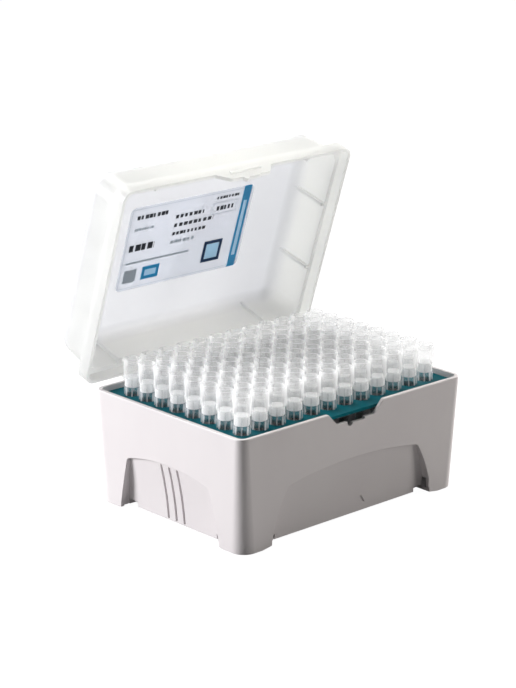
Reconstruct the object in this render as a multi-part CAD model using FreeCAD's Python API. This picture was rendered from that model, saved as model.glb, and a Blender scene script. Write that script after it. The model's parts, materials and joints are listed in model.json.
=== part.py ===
import FreeCAD, Part
import math
import os
from FreeCAD import Vector

# A hinged box of 96 filter tips: moulded base, tip tray, translucent lid, label, tips and filters.
# Millimetres. +X runs along the 12 columns, +Y from the latch to the hinge, +Z up.
# The model is built about the middle of the base and moved in Y at the end, so that the origin
# lies under the middle of the whole part with its lid open.

# ---- driving dimensions ----

# tip grid
TIP_PITCH = 9.0
TIP_COLUMNS = 12
TIP_ROWS = 8

# one tip, measured from the deck that its ribs stand on
TIP_LENGTH = 55.0
TIP_HEAD = 14.8             # above the deck
SOCKET_RADIUS = 2.76        # for the pipette's nozzle
SOCKET_DEPTH = 7.8
MOUTH_CHAMFER = 0.25
COLLAR_LENGTH = 7.8         # smooth clear collar at the top of the head
COLLAR_WALL = 0.79          # round the socket, at the mouth
COLLAR_TAPER = 0.10
NECK_WALL = 0.57            # round the filter, below the collar
NECK_BELOW_DECK = 3.0
SHAFT_BEND = 22.0           # where the shaft's taper steepens, below the deck
SHAFT_BEND_RADIUS = 1.80
SHAFT_WALL = 0.50
POINT_RADIUS = 0.55
POINT_BORE_RADIUS = 0.28
RIB_COUNT = 8
RIB_THICKNESS = 0.55
RIB_REACH = 0.25            # out of the neck

# filter plug inside the tip
FILTER_STEP = 0.18          # its bore's radius is this much less than the socket's
FILTER_LENGTH = 5.3
FILTER_SEAT = 1.5           # its lower end above the deck
FILTER_LEDGE = 0.4          # width of the ledge that it stands on
FILTER_GAP = 0.02

# base
END_MARGIN = 10.5           # last tip axis to the rim's outer face
SIDE_MARGIN = 11.2
DECK_DROP = 2.0             # deck below the rim
POINT_CLEARANCE = 2.2       # tip points above the floor
BASE_WALL = 1.5
FLOOR_THICKNESS = 1.2
FOOT_HEIGHT = 0.8
FOOT_LENGTH = 12.0          # along each side, from the corner to the arch
FOOT_RAMP = 5.0
END_DRAFT = 1.7             # each end leans in by this from rim to foot
SIDE_DRAFT = 0.9
RIM_CORNER = 4.0
FOOT_CORNER = 6.0
RIM_ROUNDING = 0.45

# grip scoops moulded into the four walls, down to the lower edge
SCOOP_LIP = 0.45            # step at the crown
SCOOP_MID_DEPTH = 3.1
SCOOP_DEPTH = 4.1
SCOOP_MID_HEIGHT = 12.0
SCOOP_CORNER = 2.2
# half-widths at three heights, the crown's drop below the tray's skirt and the shoulder's below that
SIDE_SCOOP = {"foot": 43.7, "belly": 40.7, "shoulder": 35.2, "crown_drop": 9.4, "shoulder_drop": 3.2}
END_SCOOP = {"foot": 28.6, "belly": 26.4, "shoulder": 23.8, "crown_drop": 10.0, "shoulder_drop": 3.3}
GROOVE_COUNT = 3
GROOVE_PITCH = 4.6
GROOVE_WIDTH = 1.2
GROOVE_DEPTH = 0.7
GROOVE_MARGIN = 1.0         # grooves stop this far below a scoop's crown
GROOVE_LOW = 0.6            # and this far above its lower edge
DRAIN_WIDTH = 5.0
DRAIN_HEIGHT = 0.9          # drain slots reach this far above the floor
DRAIN_MARGIN = 0.5          # and stop this far from a scoop's sides
GATE_X = 8.5                # slanted moulding gate mark on the front scoop
GATE_Z = 5.7
GATE_LENGTH = 3.6
GATE_WIDTH = 0.8
GATE_DEPTH = 0.5
GATE_SLANT = 52.0

# latch notch in the front wall
NOTCH_TOP_HALF = 15.0
NOTCH_BOTTOM_HALF = 10.2
NOTCH_DEPTH = 5.0
NOTCH_CORNER = 2.4
CATCH_X = -3.2              # catch slot below the notch
CATCH_RADIUS = 1.5
CATCH_DEPTH = 1.9
SEAT_HALF = 4.75            # shallow seat in the notch's floor, round the catch slot
SEAT_DEPTH = 0.8

# tip tray
TRAY_PLATE = 1.2
TRAY_SKIRT = 9.0
TRAY_WALL = 1.2
TRAY_CLEARANCE = 0.5
TRAY_HOLE_CLEARANCE = 0.12
TRAY_RIB = 0.9
TRAY_RIB_DEPTH = 4.0
SKIRT_WINDOW_MARGIN = 1.0   # the skirt is open behind the latch notch, this much wider each side
SUPPORT_THICKNESS = 1.4
SUPPORT_REACH = 2.6         # tray supports stand this far in from the base's wall
SUPPORT_OFFSET_X = 27.0     # supports on the long walls, each side of the middle
SUPPORT_OFFSET_Y = 17.0     # supports on the short walls, each side of the middle

# lid
LID_GAP = 0.3               # closed lid above the rim
LID_OVERHANG = 0.4          # lid rim outside the base's rim
LID_WALL = 1.3
LID_HEADROOM = 10.2         # over the tips when closed
LID_BAND = 5.7              # height of the wider band along the lid's rim
LID_STEP = 1.6              # the walls step in above the band
LID_DRAFT = 1.3
LID_BODY_CORNER = 8.0
LID_SHOULDER = 6.0          # rounding between walls and panel
LID_OPEN_ANGLE = 72.5       # opening at rest, from closed
LID_RIB_THICKNESS = 1.3
LID_RIB_REACH = 2.2
LID_RIB_SPAN_X = 40.0       # ribs on the long walls, each side of the middle
LID_RIB_SPAN_Y = 15.0       # ribs on the short walls, each side of the middle
PANEL_GROOVE_LENGTH = 15.0
PANEL_GROOVE_DEPTH = 0.4
PANEL_GROOVE_INSET = 8.0    # from the hinge side of the panel
TAB_CLEARANCE = 0.45
TAB_THICKNESS = 1.4
THUMB_RIDGE_HALF = 8.0
THUMB_RIDGE_REACH = 0.8
THUMB_RIDGE_HEIGHT = 1.3

# hinge
HINGE_BEHIND = 2.4          # hinge axis behind the base's rim
HINGE_BELOW = 3.0           # and below it
HINGE_OFFSET = 36.0         # each hinge from the middle
PIN_RADIUS = 1.1
PIN_CLEARANCE = 0.07
CLIP_WALL = 0.85
CLIP_WIDTH = 7.0
CLIP_MOUTH = 1.9
EAR_RADIUS = 1.9
EAR_THICKNESS = 1.6
EAR_GAP = 0.35
EAR_WEB = 4.5               # ear's foot on the wall, below the axis

# label on the lid's inner face
LABEL_LENGTH = 66.0
LABEL_WIDTH = 38.5
LABEL_CORNER = 2.5
LABEL_THICKNESS = 0.15

# ---- worked out from the driving dimensions ----

COLLAR_RADIUS = SOCKET_RADIUS + COLLAR_WALL
FILTER_RADIUS = SOCKET_RADIUS - FILTER_STEP
NECK_RADIUS = FILTER_RADIUS + NECK_WALL
RIB_RADIUS = NECK_RADIUS + RIB_REACH
GRID_HALF_X = (TIP_COLUMNS - 1) * TIP_PITCH / 2
GRID_HALF_Y = (TIP_ROWS - 1) * TIP_PITCH / 2
BASE_HALF_X = GRID_HALF_X + END_MARGIN
BASE_HALF_Y = GRID_HALF_Y + SIDE_MARGIN
FLOOR_TOP = FOOT_HEIGHT + FLOOR_THICKNESS
DECK_Z = FLOOR_TOP + POINT_CLEARANCE + TIP_LENGTH - TIP_HEAD
SKIRT_Z = DECK_Z - TRAY_SKIRT
RIM_Z = DECK_Z + DECK_DROP
NOTCH_Z = RIM_Z - NOTCH_DEPTH
HINGE_Y = BASE_HALF_Y + HINGE_BEHIND
HINGE_Z = RIM_Z - HINGE_BELOW
LID_RIM_Z = RIM_Z + LID_GAP
LID_DEPTH = TIP_HEAD - DECK_DROP - LID_GAP + LID_HEADROOM + LID_WALL
LID_TOP_Z = LID_RIM_Z + LID_DEPTH
BAND_HALF_X = BASE_HALF_X + LID_OVERHANG
BAND_HALF_Y = BASE_HALF_Y + LID_OVERHANG
BAND_CORNER = RIM_CORNER + LID_OVERHANG
PAST = 1.0                  # how far a cutting shape runs past the face that it opens


# ---- shapes used more than once ----

def rounded_wire(half_x, half_y, radius, z):
    """Rectangle with round corners, as a closed wire at height z."""
    edges = []
    corners = [(1, 1, 0), (-1, 1, 90), (-1, -1, 180), (1, -1, 270)]
    arcs = []
    for side_x, side_y, start in corners:
        centre = Vector(side_x * (half_x - radius), side_y * (half_y - radius), z)
        points = []
        for turn in (0, 45, 90):
            angle = math.radians(start + turn)
            points.append(centre + Vector(math.cos(angle), math.sin(angle), 0) * radius)
        arcs.append(points)
    for index, points in enumerate(arcs):
        edges.append(Part.Arc(*points).toShape())
        following = arcs[(index + 1) % len(arcs)]
        edges.append(Part.LineSegment(points[-1], following[0]).toShape())
    return Part.Wire(edges)


def drafted_block(low, high):
    """Solid between two rounded rectangles, each given as (half_x, half_y, radius, z)."""
    return Part.makeLoft([rounded_wire(*low), rounded_wire(*high)], True, True)


def box_between(low, high):
    """Box between two opposite corners."""
    size = Vector(*high) - Vector(*low)
    return Part.makeBox(size.x, size.y, size.z, Vector(*low))


def prism(edges, direction):
    """Solid swept from a closed outline along a straight direction."""
    return Part.Face(Part.Wire(edges)).extrude(direction)


def segments(points):
    """Straight edges joining the points in order, without closing them."""
    return [Part.LineSegment(a, b).toShape() for a, b in zip(points, points[1:])]


def revolved(profile):
    """Solid turned about Z from a closed profile of (radius, z) points."""
    points = [Vector(radius, 0, z) for radius, z in profile]
    face = Part.Face(Part.Wire(segments(points + points[:1])))
    return face.revolve(Vector(0, 0, 0), Vector(0, 0, 1), 360)


def cylinder_x(radius, x_from, x_to, y, z):
    """Cylinder along X between two positions."""
    return Part.makeCylinder(radius, x_to - x_from, Vector(x_from, y, z), Vector(1, 0, 0))


def round_edges(shape, radius, chosen):
    """Fillet the edges for which chosen(edge) is true."""
    return shape.makeFillet(radius, [edge for edge in shape.Edges if chosen(edge)])


def edge_height(edge):
    """Height of an edge that lies level, or None for any other edge."""
    box = edge.BoundBox
    return box.ZMin if box.ZLength < 1e-4 else None


def edge_height_at(shape, z):
    """Height of the shape's own level edges nearest to z."""
    heights = [edge_height(edge) for edge in shape.Edges]
    return min((height for height in heights if height is not None), key=lambda height: abs(height - z))


def turned(shape, degrees):
    """Copy turned about the vertical through the middle of the base."""
    copy = shape.copy()
    copy.rotate(Vector(0, 0, 0), Vector(0, 0, 1), degrees)
    return copy


def mirrored_x(shape):
    """Mirror copy on the other side of the middle plane X = 0."""
    return shape.mirror(Vector(0, 0, 0), Vector(1, 0, 0))


# ---- base ----

def wall_inset(draft, z):
    """How far a drafted wall's outer face stands inside the rim at height z."""
    return draft * (1 - z / RIM_Z)


def outer_corner(z):
    """Radius of the base's outer corner at height z."""
    return FOOT_CORNER + (RIM_CORNER - FOOT_CORNER) * z / RIM_Z


def base_section(z, inward):
    """Rounded rectangle of the base at height z, moved inwards by a wall or a clearance."""
    half_x = BASE_HALF_X - wall_inset(END_DRAFT, z) - inward
    half_y = BASE_HALF_Y - wall_inset(SIDE_DRAFT, z) - inward
    return (half_x, half_y, max(outer_corner(z) - inward, 0.5), z)


def placed_scoop(sizes, reach, draft):
    """A scoop's sizes with its heights and the wall that it is in."""
    crown_z = SKIRT_Z - sizes["crown_drop"]
    shoulder_z = crown_z - sizes["shoulder_drop"]
    return dict(sizes, crown_z=crown_z, shoulder_z=shoulder_z, reach=reach, draft=draft)


def scoop_outline(scoop, grow, low_z):
    """Arched outline of a scoop on the front wall down to low_z, swept inwards as a prism."""
    y_out = -scoop["reach"] - PAST
    middle_z = (FLOOR_TOP + scoop["shoulder_z"]) / 2
    low = Vector(scoop["foot"] + grow, y_out, FLOOR_TOP)
    belly = Vector(scoop["belly"] + grow, y_out, middle_z)
    shoulder = Vector(scoop["shoulder"] + grow, y_out, scoop["shoulder_z"] + grow)
    crown = Vector(0, y_out, scoop["crown_z"] + grow)

    def other(point):
        return Vector(-point.x, point.y, point.z)

    edges = [
        Part.Arc(low, belly, shoulder).toShape(),
        Part.Arc(shoulder, crown, other(shoulder)).toShape(),
        Part.Arc(other(shoulder), other(belly), other(low)).toShape(),
    ]
    foot = Vector(low.x, y_out, low_z)
    edges += segments([other(low), other(foot), foot, low])
    solid = prism(edges, Vector(0, scoop["reach"], 0))

    def at_shoulder(edge):
        box = edge.BoundBox
        return box.YLength > PAST and abs(box.ZMin - shoulder.z) < 1e-3

    return round_edges(solid, SCOOP_CORNER, at_shoulder)


def scoop_profile(scoop, grow):
    """Everything in front of a scoop's curved floor, grown inwards by a wall or a groove."""
    face_y = -scoop["reach"]
    heights = (0.0, SCOOP_MID_HEIGHT, scoop["crown_z"] + PAST)
    depths = (SCOOP_DEPTH, SCOOP_MID_DEPTH, SCOOP_LIP)
    curve = []
    for z, depth in zip(heights, depths):
        curve.append(Vector(-scoop["reach"], face_y + wall_inset(scoop["draft"], z) + depth + grow, z))
    above = curve[-1] + Vector(0, 0, grow + PAST)
    out_high = Vector(above.x, face_y - PAST, above.z)
    out_low = Vector(above.x, face_y - PAST, -PAST)
    low = Vector(above.x, curve[0].y, -PAST)
    edges = segments([curve[-1], above, out_high, out_low, low, curve[0]])
    edges.append(Part.Arc(*curve).toShape())
    return prism(edges, Vector(2 * scoop["reach"], 0, 0))


def scoop_void(scoop, grow, low_z):
    """Space of a scoop on the front wall, down to low_z."""
    return scoop_outline(scoop, grow, low_z).common(scoop_profile(scoop, grow))


def groove_cutter(scoop):
    """Upright grooves in the middle of a scoop's floor."""
    behind_floor = scoop_profile(scoop, GROOVE_DEPTH)
    low_z = FOOT_HEIGHT + GROOVE_LOW
    high_z = scoop["crown_z"] - GROOVE_MARGIN
    slabs = []
    for index in range(GROOVE_COUNT):
        middle = (index - (GROOVE_COUNT - 1) / 2) * GROOVE_PITCH
        slabs.append(box_between(
            (middle - GROOVE_WIDTH / 2, -scoop["reach"] - PAST, low_z),
            (middle + GROOVE_WIDTH / 2, 0, high_z)))
    return behind_floor.common(Part.makeCompound(slabs))


def drain_cutter(scoop):
    """Two small slots at the lower corners of a scoop, through its floor wall and the base's floor."""
    outer = scoop["foot"] - DRAIN_MARGIN
    inner_y = -scoop["reach"] + scoop["draft"] + SCOOP_DEPTH + 2 * BASE_WALL
    slot = box_between(
        (outer - DRAIN_WIDTH, -scoop["reach"], -PAST),
        (outer, inner_y, FLOOR_TOP + DRAIN_HEIGHT))
    return Part.makeCompound([slot, mirrored_x(slot)])


def gate_cutter(scoop):
    """Slanted moulding mark low on a scoop's floor."""
    behind_floor = scoop_profile(scoop, GATE_DEPTH)
    mark = box_between(
        (-GATE_LENGTH / 2, -scoop["reach"] - PAST, -GATE_WIDTH / 2),
        (GATE_LENGTH / 2, 0, GATE_WIDTH / 2))
    mark.rotate(Vector(0, 0, 0), Vector(0, 1, 0), GATE_SLANT)
    mark.translate(Vector(GATE_X, 0, GATE_Z))
    return behind_floor.common(mark)


def arch_cutter(half, reach):
    """Cuts the front skirt below the floor between two corner feet."""
    y_out = -reach - PAST
    foot_edge = half - FOOT_LENGTH
    points = [
        Vector(-foot_edge, y_out, -PAST),
        Vector(-foot_edge, y_out, 0),
        Vector(-foot_edge + FOOT_RAMP, y_out, FOOT_HEIGHT),
        Vector(foot_edge - FOOT_RAMP, y_out, FOOT_HEIGHT),
        Vector(foot_edge, y_out, 0),
        Vector(foot_edge, y_out, -PAST),
    ]
    return prism(segments(points + points[:1]), Vector(0, 2 * PAST + END_DRAFT + 2 * BASE_WALL, 0))


def notch_outline(half_top, half_bottom, z_top, z_bottom, y, depth):
    """Rounded trapezoid, wide at the top, swept along Y."""
    points = [
        Vector(-half_top, y, z_top),
        Vector(-half_bottom, y, z_bottom),
        Vector(half_bottom, y, z_bottom),
        Vector(half_top, y, z_top),
    ]
    solid = prism(segments(points + points[:1]), Vector(0, depth, 0))

    def lower_corner(edge):
        box = edge.BoundBox
        return box.YLength > depth / 2 and abs(box.ZMin - z_bottom) < 1e-3

    return round_edges(solid, NOTCH_CORNER, lower_corner)


def notch_half_at(z, clearance):
    """Half-width of the latch notch at height z, less a clearance."""
    slope = (NOTCH_TOP_HALF - NOTCH_BOTTOM_HALF) / NOTCH_DEPTH
    return NOTCH_BOTTOM_HALF + slope * (z - NOTCH_Z) - clearance


def catch_slot(x, radius, depth, y, length):
    """Upright slot with a round lower end, hanging from the notch's floor."""
    centre_z = NOTCH_Z - depth + radius
    slot = Part.makeCylinder(radius, length, Vector(x, y, centre_z), Vector(0, 1, 0))
    return slot.fuse(box_between((x - radius, y, centre_z), (x + radius, y + length, NOTCH_Z + radius)))


def latch_seat(y, length, clearance):
    """Catch slot and the shallow seat round it, hanging from the notch's floor."""
    slot = catch_slot(CATCH_X, CATCH_RADIUS - clearance, CATCH_DEPTH - clearance, y, length)
    seat = box_between(
        (-SEAT_HALF + clearance, y, NOTCH_Z - SEAT_DEPTH + clearance),
        (SEAT_HALF - clearance, y + length, NOTCH_Z + CATCH_RADIUS))
    return slot.fuse(seat)


def latch_cutter():
    """Notch in the front rim with its seat and catch slot."""
    y_out = -BASE_HALF_Y - PAST
    depth = 2 * PAST + BASE_WALL
    top_z = RIM_Z + PAST
    cutter = notch_outline(notch_half_at(top_z, 0), NOTCH_BOTTOM_HALF, top_z, NOTCH_Z, y_out, depth)
    return cutter.fuse(latch_seat(y_out, depth, 0))


def tray_supports():
    """Upright ribs inside the walls that carry the tray's skirt."""
    top_z = SKIRT_Z
    ribs = []
    for x in (-SUPPORT_OFFSET_X, SUPPORT_OFFSET_X):
        y_wall = BASE_HALF_Y - BASE_WALL / 2 - SIDE_DRAFT
        y_in = BASE_HALF_Y - BASE_WALL - SUPPORT_REACH
        for low, high in ((-y_wall, -y_in), (y_in, y_wall)):
            ribs.append(box_between(
                (x - SUPPORT_THICKNESS / 2, low, FLOOR_TOP - FLOOR_THICKNESS / 2),
                (x + SUPPORT_THICKNESS / 2, high, top_z)))
    x_wall = BASE_HALF_X - BASE_WALL / 2 - END_DRAFT
    x_in = BASE_HALF_X - BASE_WALL - SUPPORT_REACH
    for y in (-SUPPORT_OFFSET_Y, SUPPORT_OFFSET_Y):
        for low, high in ((-x_wall, -x_in), (x_in, x_wall)):
            ribs.append(box_between(
                (low, y - SUPPORT_THICKNESS / 2, FLOOR_TOP - FLOOR_THICKNESS / 2),
                (high, y + SUPPORT_THICKNESS / 2, top_z)))
    return ribs


def hinge_ears():
    """Two pairs of ears behind the rim, each pair with its cross pin."""
    wall_y = BASE_HALF_Y - BASE_WALL / 2
    inner = CLIP_WIDTH / 2 + EAR_GAP
    solids = []
    for side in (-1, 1):
        middle = side * HINGE_OFFSET
        for x_low in (middle - inner - EAR_THICKNESS, middle + inner):
            disc = cylinder_x(EAR_RADIUS, x_low, x_low + EAR_THICKNESS, HINGE_Y, HINGE_Z)
            web = [
                Vector(x_low, wall_y, HINGE_Z + EAR_RADIUS),
                Vector(x_low, HINGE_Y, HINGE_Z + EAR_RADIUS),
                Vector(x_low, HINGE_Y + EAR_RADIUS, HINGE_Z),
                Vector(x_low, wall_y, HINGE_Z - EAR_WEB),
            ]
            solids.append(disc.fuse(prism(segments(web + web[:1]), Vector(EAR_THICKNESS, 0, 0))))
        pin_half = inner + EAR_THICKNESS / 2
        solids.append(cylinder_x(PIN_RADIUS, middle - pin_half, middle + pin_half, HINGE_Y, HINGE_Z))
    return solids


def build_base():
    """Drafted tub with grip scoops, corner feet, latch notch and hinge ears."""
    outer = drafted_block(base_section(0, 0), base_section(RIM_Z, 0))
    rim_edge = edge_height_at(outer, RIM_Z)
    outer = round_edges(outer, RIM_ROUNDING, lambda edge: edge_height(edge) == rim_edge)
    cavity_top = base_section(RIM_Z, BASE_WALL)[:3] + (RIM_Z + PAST,)
    cavity = drafted_block(base_section(FLOOR_TOP, BASE_WALL), cavity_top)
    under = drafted_block(base_section(0, BASE_WALL)[:3] + (-PAST,), base_section(FOOT_HEIGHT, BASE_WALL))

    side = placed_scoop(SIDE_SCOOP, BASE_HALF_Y, SIDE_DRAFT)
    end = placed_scoop(END_SCOOP, BASE_HALF_X, END_DRAFT)
    scoops = [(side, 0, False), (side, 180, False), (end, 90, True), (end, 270, True)]

    backing = []
    cuts = [latch_cutter(), gate_cutter(side)]
    for scoop, turn, grooved in scoops:
        backing_low = FLOOR_TOP - FLOOR_THICKNESS / 2
        backing.append(turned(scoop_void(scoop, BASE_WALL, backing_low), turn).common(outer))
        cuts.append(turned(scoop_void(scoop, 0, -PAST), turn))
        cuts.append(turned(drain_cutter(scoop), turn))
        if grooved:
            cuts.append(turned(groove_cutter(scoop), turn))
    for turn in (0, 180):
        cuts.append(turned(arch_cutter(BASE_HALF_X, BASE_HALF_Y), turn))
    for turn in (90, 270):
        cuts.append(turned(arch_cutter(BASE_HALF_Y, BASE_HALF_X), turn))

    base = outer.cut([cavity, under])
    base = base.fuse(backing + tray_supports() + hinge_ears())
    return base.cut(cuts).removeSplitter()


# ---- tray ----

def build_tray():
    """Plate with one hole per tip, a skirt inside the base's walls and ribs between the rows."""
    inward = BASE_WALL + TRAY_CLEARANCE
    plate_low = DECK_Z - TRAY_PLATE
    outer = drafted_block(base_section(SKIRT_Z, inward), base_section(DECK_Z, inward))
    hollow_low = base_section(SKIRT_Z, inward + TRAY_WALL)[:3] + (SKIRT_Z - PAST,)
    hollow = drafted_block(hollow_low, base_section(plate_low, inward + TRAY_WALL))
    window_half = NOTCH_TOP_HALF + SKIRT_WINDOW_MARGIN
    window = box_between(
        (-window_half, -BASE_HALF_Y, SKIRT_Z - PAST),
        (window_half, -BASE_HALF_Y + SIDE_DRAFT + inward + TRAY_WALL, plate_low))
    tray = outer.cut([hollow, window])
    ribs = []
    for row in range(1, TIP_ROWS - 1, 2):
        y = (row + 0.5) * TIP_PITCH - GRID_HALF_Y
        ribs.append(box_between(
            (-BASE_HALF_X, y - TRAY_RIB / 2, plate_low - TRAY_RIB_DEPTH),
            (BASE_HALF_X, y + TRAY_RIB / 2, plate_low + TRAY_PLATE / 2)))
    tray = tray.fuse([rib.common(outer) for rib in ribs])
    hole_radius = NECK_RADIUS + TRAY_HOLE_CLEARANCE
    hole_length = TRAY_PLATE + 2 * PAST
    holes = []
    for column in range(TIP_COLUMNS):
        for x, y in column_places(column):
            holes.append(Part.makeCylinder(hole_radius, hole_length, Vector(x, y, plate_low - PAST)))
    return tray.cut(Part.makeCompound(holes)).removeSplitter()


# ---- tips and filters ----

def column_places(column):
    """Axes of the tips in one column, front to back."""
    x = column * TIP_PITCH - GRID_HALF_X
    return [(x, row * TIP_PITCH - GRID_HALF_Y) for row in range(TIP_ROWS)]


def build_tip():
    """One tip about the Z axis, with its ribs standing on Z = 0."""
    collar_z = TIP_HEAD - COLLAR_LENGTH
    socket_z = TIP_HEAD - SOCKET_DEPTH
    end_z = TIP_HEAD - TIP_LENGTH
    body = revolved([
        (SOCKET_RADIUS + MOUTH_CHAMFER, TIP_HEAD),
        (COLLAR_RADIUS, TIP_HEAD),
        (COLLAR_RADIUS - COLLAR_TAPER, collar_z),
        (NECK_RADIUS, collar_z - MOUTH_CHAMFER),
        (NECK_RADIUS, 0),
        (NECK_RADIUS - COLLAR_TAPER, -NECK_BELOW_DECK),
        (SHAFT_BEND_RADIUS, -SHAFT_BEND),
        (POINT_RADIUS, end_z),
        (POINT_BORE_RADIUS, end_z),
        (SHAFT_BEND_RADIUS - SHAFT_WALL, -SHAFT_BEND),
        (FILTER_RADIUS - FILTER_LEDGE, FILTER_SEAT),
        (FILTER_RADIUS, FILTER_SEAT),
        (FILTER_RADIUS, socket_z - FILTER_STEP),
        (SOCKET_RADIUS, socket_z),
        (SOCKET_RADIUS, TIP_HEAD - MOUTH_CHAMFER),
    ])
    ribs = []
    inner = (NECK_RADIUS + FILTER_RADIUS) / 2
    for index in range(RIB_COUNT):
        rib = box_between((inner, -RIB_THICKNESS / 2, 0), (RIB_RADIUS, RIB_THICKNESS / 2, collar_z))
        ribs.append(turned(rib, (index + 0.5) * 360 / RIB_COUNT))
    return body.fuse(ribs)


def build_filter():
    """Porous plug that fills the tip's bore from its ledge up to the socket."""
    return Part.makeCylinder(FILTER_RADIUS - FILTER_GAP, FILTER_LENGTH, Vector(0, 0, FILTER_SEAT))


def placed_column(shape, column):
    """Copies of one tip or filter in a column's places, standing on the deck."""
    copies = []
    for x, y in column_places(column):
        copy = shape.copy()
        copy.translate(Vector(x, y, DECK_Z))
        copies.append(copy)
    return Part.makeCompound(copies)


# ---- lid, built closed and then swung open about its hinge ----

def lid_body_section(z, inward):
    """Rounded rectangle of the lid's walls above the band, at height z."""
    lean = LID_DRAFT * (z - LID_RIM_Z) / LID_DEPTH
    shrink = LID_STEP + lean + inward
    return (BAND_HALF_X - shrink, BAND_HALF_Y - shrink, LID_BODY_CORNER - inward, z)


def lid_form(inward):
    """Closed form of the lid, moved inwards by a wall for the space inside it."""
    low_z = LID_RIM_Z - (PAST if inward else 0)
    top_z = LID_TOP_Z - inward
    body = drafted_block(lid_body_section(low_z, inward), lid_body_section(top_z, inward))
    top_edge = edge_height_at(body, top_z)
    body = round_edges(body, LID_SHOULDER - inward, lambda edge: edge_height(edge) == top_edge)
    band_low = (BAND_HALF_X - inward, BAND_HALF_Y - inward, BAND_CORNER - inward, low_z)
    band_high = band_low[:3] + (LID_RIM_Z + LID_BAND - inward,)
    return body.fuse(drafted_block(band_low, band_high))


def lid_ribs(form):
    """Locating ribs on the inner faces of the walls, from the band's ledge to the panel."""
    low_z = LID_RIM_Z + LID_BAND - LID_WALL
    ribs = []
    reach_x = BAND_HALF_X - LID_STEP - LID_WALL - LID_RIB_REACH
    reach_y = BAND_HALF_Y - LID_STEP - LID_WALL - LID_RIB_REACH
    for side in (-1, 1):
        for y in (-LID_RIB_SPAN_Y, LID_RIB_SPAN_Y):
            ends = sorted((side * reach_x, side * BAND_HALF_X))
            ribs.append(box_between(
                (ends[0], y - LID_RIB_THICKNESS / 2, low_z),
                (ends[1], y + LID_RIB_THICKNESS / 2, LID_TOP_Z)))
        for x in (-LID_RIB_SPAN_X, LID_RIB_SPAN_X):
            ends = sorted((side * reach_y, side * BAND_HALF_Y))
            ribs.append(box_between(
                (x - LID_RIB_THICKNESS / 2, ends[0], low_z),
                (x + LID_RIB_THICKNESS / 2, ends[1], LID_TOP_Z)))
    return [rib.common(form) for rib in ribs]


def latch_tab():
    """Tab that fills the base's notch and its seat, with a catch and a thumb ridge."""
    y_out = -BAND_HALF_Y
    tab_z = NOTCH_Z + TAB_CLEARANCE
    top_z = LID_RIM_Z + LID_WALL
    tab = notch_outline(
        notch_half_at(top_z, TAB_CLEARANCE), notch_half_at(tab_z, TAB_CLEARANCE),
        top_z, tab_z, y_out, TAB_THICKNESS)
    ridge_z = LID_RIM_Z - THUMB_RIDGE_HEIGHT
    ridge = box_between(
        (-THUMB_RIDGE_HALF, y_out - THUMB_RIDGE_REACH, ridge_z),
        (THUMB_RIDGE_HALF, y_out, ridge_z + THUMB_RIDGE_HEIGHT))
    return [tab.fuse([latch_seat(y_out, TAB_THICKNESS, TAB_CLEARANCE), ridge])]


def hinge_clips():
    """Two snap clips on arms below the lid's rear band."""
    bore = PIN_RADIUS + PIN_CLEARANCE
    clip_radius = bore + CLIP_WALL
    wall_y = BAND_HALF_Y
    clear_y = BASE_HALF_Y + LID_OVERHANG
    clips = []
    for side in (-1, 1):
        x_low = side * HINGE_OFFSET - CLIP_WIDTH / 2
        x_high = x_low + CLIP_WIDTH
        ring = cylinder_x(clip_radius, x_low, x_high, HINGE_Y, HINGE_Z)
        arm = [
            Vector(x_low, clear_y, HINGE_Z),
            Vector(x_low, clear_y, LID_RIM_Z),
            Vector(x_low, wall_y - LID_WALL / 2, LID_RIM_Z),
            Vector(x_low, wall_y - LID_WALL / 2, LID_RIM_Z + LID_BAND - LID_WALL),
            Vector(x_low, wall_y, LID_RIM_Z + LID_BAND - LID_WALL),
            Vector(x_low, HINGE_Y + clip_radius, HINGE_Z + clip_radius),
            Vector(x_low, HINGE_Y + clip_radius, HINGE_Z),
        ]
        clip = ring.fuse(prism(segments(arm + arm[:1]), Vector(CLIP_WIDTH, 0, 0)))
        mouth = box_between(
            (x_low, HINGE_Y - CLIP_MOUTH / 2, HINGE_Z - 2 * clip_radius),
            (x_high, HINGE_Y + CLIP_MOUTH / 2, HINGE_Z))
        clips.append(clip.cut([cylinder_x(bore, x_low, x_high, HINGE_Y, HINGE_Z), mouth]))
    return clips


def panel_grooves():
    """Three shallow grooves in the panel's outer face, near the hinge."""
    high_y = BAND_HALF_Y - LID_STEP - LID_DRAFT - PANEL_GROOVE_INSET
    cuts = []
    for index in range(GROOVE_COUNT):
        middle = (index - (GROOVE_COUNT - 1) / 2) * GROOVE_PITCH
        cuts.append(box_between(
            (middle - GROOVE_WIDTH / 2, high_y - PANEL_GROOVE_LENGTH, LID_TOP_Z - PANEL_GROOVE_DEPTH),
            (middle + GROOVE_WIDTH / 2, high_y, LID_TOP_Z + PAST)))
    return cuts


def swung_open(shape):
    """The shape turned about the hinge from closed to its resting place."""
    copy = shape.copy()
    copy.rotate(Vector(0, HINGE_Y, HINGE_Z), Vector(-1, 0, 0), LID_OPEN_ANGLE)
    return copy


def build_lid():
    """Stepped shell with ribs, latch tab and hinge clips, in its open position."""
    form = lid_form(0)
    lid = form.cut(lid_form(LID_WALL))
    lid = lid.fuse(lid_ribs(form) + latch_tab() + hinge_clips())
    lid = lid.cut(panel_grooves()).removeSplitter()
    return swung_open(lid)


def build_label():
    """Film label on the panel's inner face, in its open position."""
    face_z = LID_TOP_Z - LID_WALL
    half_x = LABEL_LENGTH / 2
    half_y = LABEL_WIDTH / 2
    face = Part.Face(rounded_wire(half_x, half_y, LABEL_CORNER, face_z - LABEL_THICKNESS))
    return swung_open(face.extrude(Vector(0, 0, LABEL_THICKNESS)))


# ---- the whole part ----

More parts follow.
